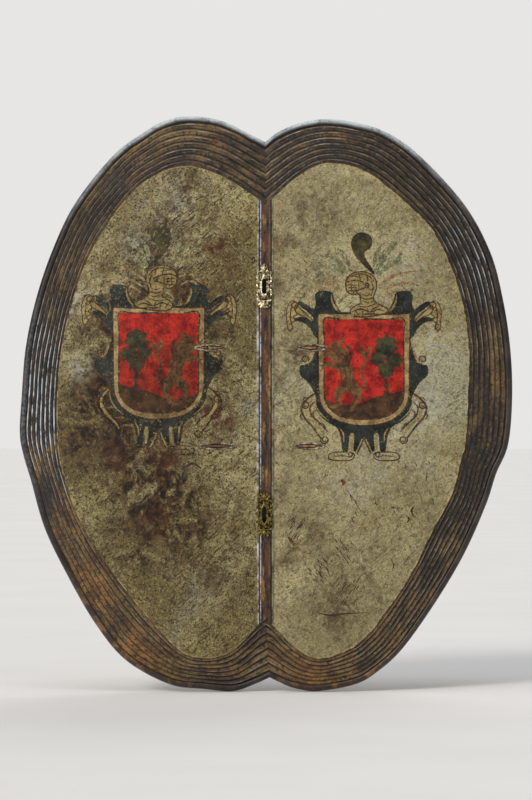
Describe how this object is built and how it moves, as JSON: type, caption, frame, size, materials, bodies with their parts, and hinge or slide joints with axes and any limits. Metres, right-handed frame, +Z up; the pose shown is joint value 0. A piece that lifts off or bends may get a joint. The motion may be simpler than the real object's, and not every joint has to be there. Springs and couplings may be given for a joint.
{
  "type": "two-lobed leather shield",
  "caption": "Two-lobed moulded leather shield with painted armorial face panels, ridged border, slotted brass plates and laced arm straps with buckle and grip.",
  "frame": {"origin": "middle of the space between the two arm straps, where the bearer's arm lies", "axes": "+Z up along the spine of the shield, +Y backwards towards the bearer (the painted face looks along -Y), +X to the right as the face is seen"},
  "size_m": [0.6667, 0.1042, 0.7779],
  "materials": {
    "border_leather": "satin, worn",
    "back_leather": "matte",
    "panel_paint": "matte, painted",
    "spine_leather": "satin",
    "binding_leather": "satin, worn",
    "lace_leather": "matte",
    "patch_leather": "matte",
    "strap_leather": "satin",
    "grip_leather": "matte",
    "brass": "cast, aged",
    "iron": "dull"
  },
  "bodies": {
    "shield_body": {"back_hide": "back_leather", "front_hide": "border_leather", "left_face_panel": "panel_paint", "right_face_panel": "panel_paint", "spine_strip": "spine_leather", "rim_binding": "binding_leather", "upper_slot_plate": "brass", "lower_slot_plate": "brass", "upper_backing_plate": "iron", "lower_backing_plate": "iron", "upper_plate_top_rivet": "brass", "upper_plate_bottom_rivet": "brass", "lower_plate_top_rivet": "brass", "lower_plate_bottom_rivet": "brass", "hand_upper_patch": "patch_leather", "hand_lower_patch": "patch_leather", "forearm_upper_patch": "patch_leather", "forearm_lower_patch": "patch_leather", "hand_upper_tab": "strap_leather", "hand_lower_tab": "strap_leather", "forearm_upper_tab": "strap_leather", "forearm_lower_tab": "strap_leather", "hand_upper_lace": "lace_leather", "hand_lower_lace": "lace_leather", "forearm_upper_lace": "lace_leather", "forearm_lower_lace": "lace_leather"},
    "forearm_strap": {"forearm_chape_strap": "strap_leather", "forearm_billet_strap": "strap_leather", "buckle_frame": "brass"},
    "tongue": {"buckle_tongue": "brass"},
    "keeper": {"strap_keeper": "strap_leather"},
    "hand_loop_strap": {"hand_strap": "strap_leather", "hand_grip_wrap": "grip_leather"}
  },
  "joints": [
    {"name": "forearm_swing", "type": "hinge", "parent": "shield_body", "child": "forearm_strap", "pos_m": [0.06208, -0.02301, 0], "axis": [0, 0, 1], "range_deg": [-25, 25], "stiffness_Nm_per_rad": 0.05},
    {"name": "hand_swing", "type": "hinge", "parent": "shield_body", "child": "hand_loop_strap", "pos_m": [-0.07041, -0.0236, 0], "axis": [0, 0, 1], "range_deg": [-25, 25], "stiffness_Nm_per_rad": 0.05},
    {"name": "tongue_lift", "type": "hinge", "parent": "forearm_strap", "child": "tongue", "pos_m": [0.06787, 0.03571, -0.002], "axis": [0.9952, -0.0982, 0], "range_deg": [0, 38]},
    {"name": "keeper_slide", "type": "slide", "parent": "forearm_strap", "child": "keeper", "axis": [0, 0, 1], "range_m": [-0.007, 0.007]}
  ]
}
